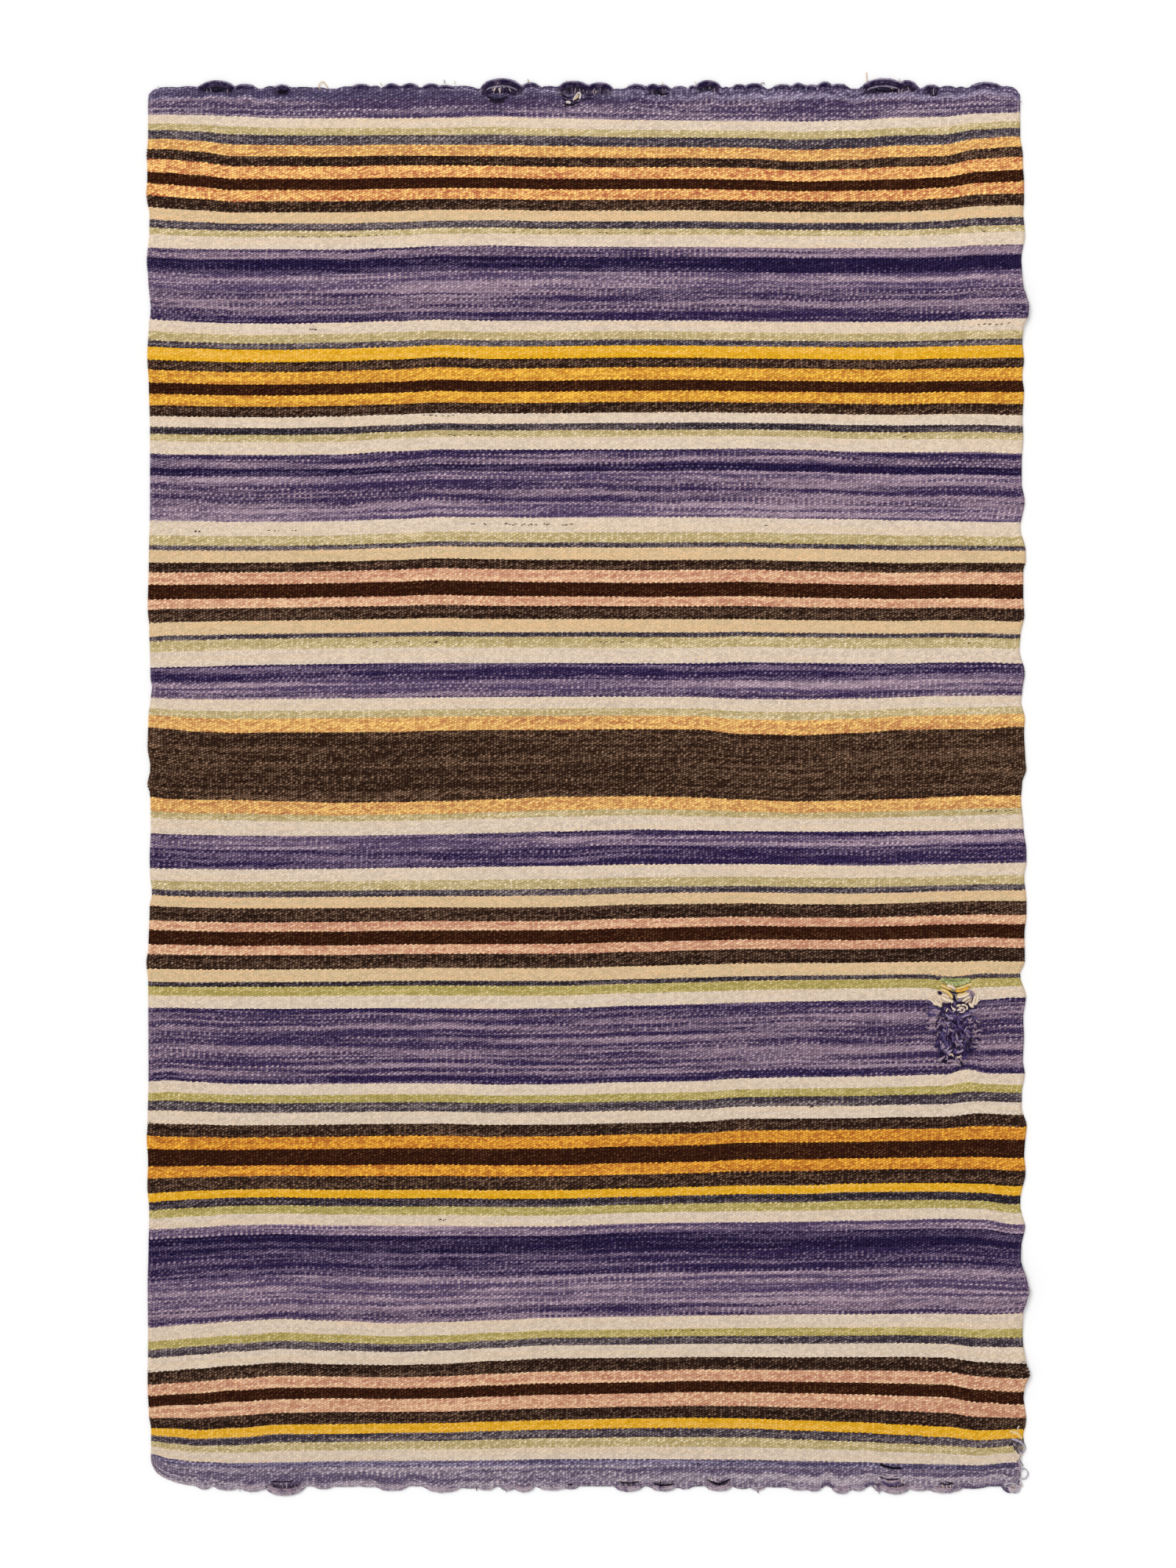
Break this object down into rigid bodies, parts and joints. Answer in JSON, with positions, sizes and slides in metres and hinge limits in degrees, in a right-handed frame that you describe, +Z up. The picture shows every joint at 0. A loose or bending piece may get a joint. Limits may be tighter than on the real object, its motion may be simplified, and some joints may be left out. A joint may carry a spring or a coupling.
{
  "type": "woven blanket",
  "caption": "Striped weft-faced wool blanket, laid out flat, with scalloped end edges and a darned mend near one side.",
  "frame": {"origin": "middle of the blanket's outline, on the surface that it lies on", "axes": "+X across the blanket along the weft, +Y along the warp towards the end that is the picture's top, +Z up off the surface"},
  "size_m": [1.1243, 1.8073, 0.0078],
  "materials": {
    "striped_wool": "matt handspun wool in bands of purple, cream, olive, slate, yellow, gold, salmon and browns",
    "darning_wool": "matt wool yarn in purple, cream and olive",
    "warp_yarn": "undyed hard-spun wool, matt"
  },
  "bodies": {
    "root": {"blanket": "striped_wool"}
  },
  "joints": []
}
